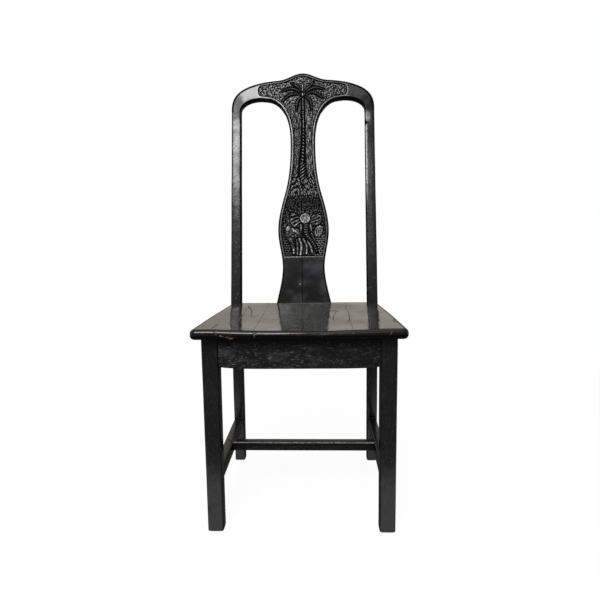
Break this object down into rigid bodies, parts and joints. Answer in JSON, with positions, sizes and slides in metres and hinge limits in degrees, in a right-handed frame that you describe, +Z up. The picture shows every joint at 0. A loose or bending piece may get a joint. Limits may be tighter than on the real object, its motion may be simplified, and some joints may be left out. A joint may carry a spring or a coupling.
{
  "type": "carved wooden side chair",
  "caption": "Black lacquered wooden side chair with a dished plank seat, H stretcher, raked back, shaped crest rail and vase splat carved in relief with a palm and an elephant.",
  "frame": {"origin": "on the floor under the middle of the chair's box", "axes": "+Z up, -Y the way the sitter faces, +X to the right of a viewer in front of the chair"},
  "size_m": [0.446, 0.5212, 1.0777],
  "materials": {
    "black_lacquer": "satin to glossy black lacquer, worn along the edges",
    "carved_lacquer": "satin black lacquer over low relief carving",
    "seat_lacquer": "glossy black lacquer, worn, with fine cracks",
    "stained_block": "dark stained, unpolished",
    "screw_steel": "plain steel"
  },
  "bodies": {
    "root": {"front_leg_left": "black_lacquer", "front_leg_right": "black_lacquer", "rear_post_left": "black_lacquer", "rear_post_right": "black_lacquer", "front_rail": "black_lacquer", "rear_rail": "black_lacquer", "side_rail_left": "black_lacquer", "side_rail_right": "black_lacquer", "side_stretcher_left": "black_lacquer", "side_stretcher_right": "black_lacquer", "cross_stretcher": "black_lacquer", "crest_rail": "carved_lacquer", "splat_left": "carved_lacquer", "splat_right": "carved_lacquer", "seat_board_1": "seat_lacquer", "seat_board_2": "seat_lacquer", "seat_board_3": "seat_lacquer", "seat_board_4": "seat_lacquer", "seat_board_5": "seat_lacquer", "seat_board_6": "seat_lacquer", "corner_block_front_left": "stained_block", "corner_block_front_right": "stained_block", "corner_block_rear_left": "stained_block", "corner_block_rear_right": "stained_block", "seat_screw_front_left": "screw_steel", "seat_screw_front_right": "screw_steel", "seat_screw_rear_left": "screw_steel", "seat_screw_rear_right": "screw_steel"}
  },
  "joints": []
}
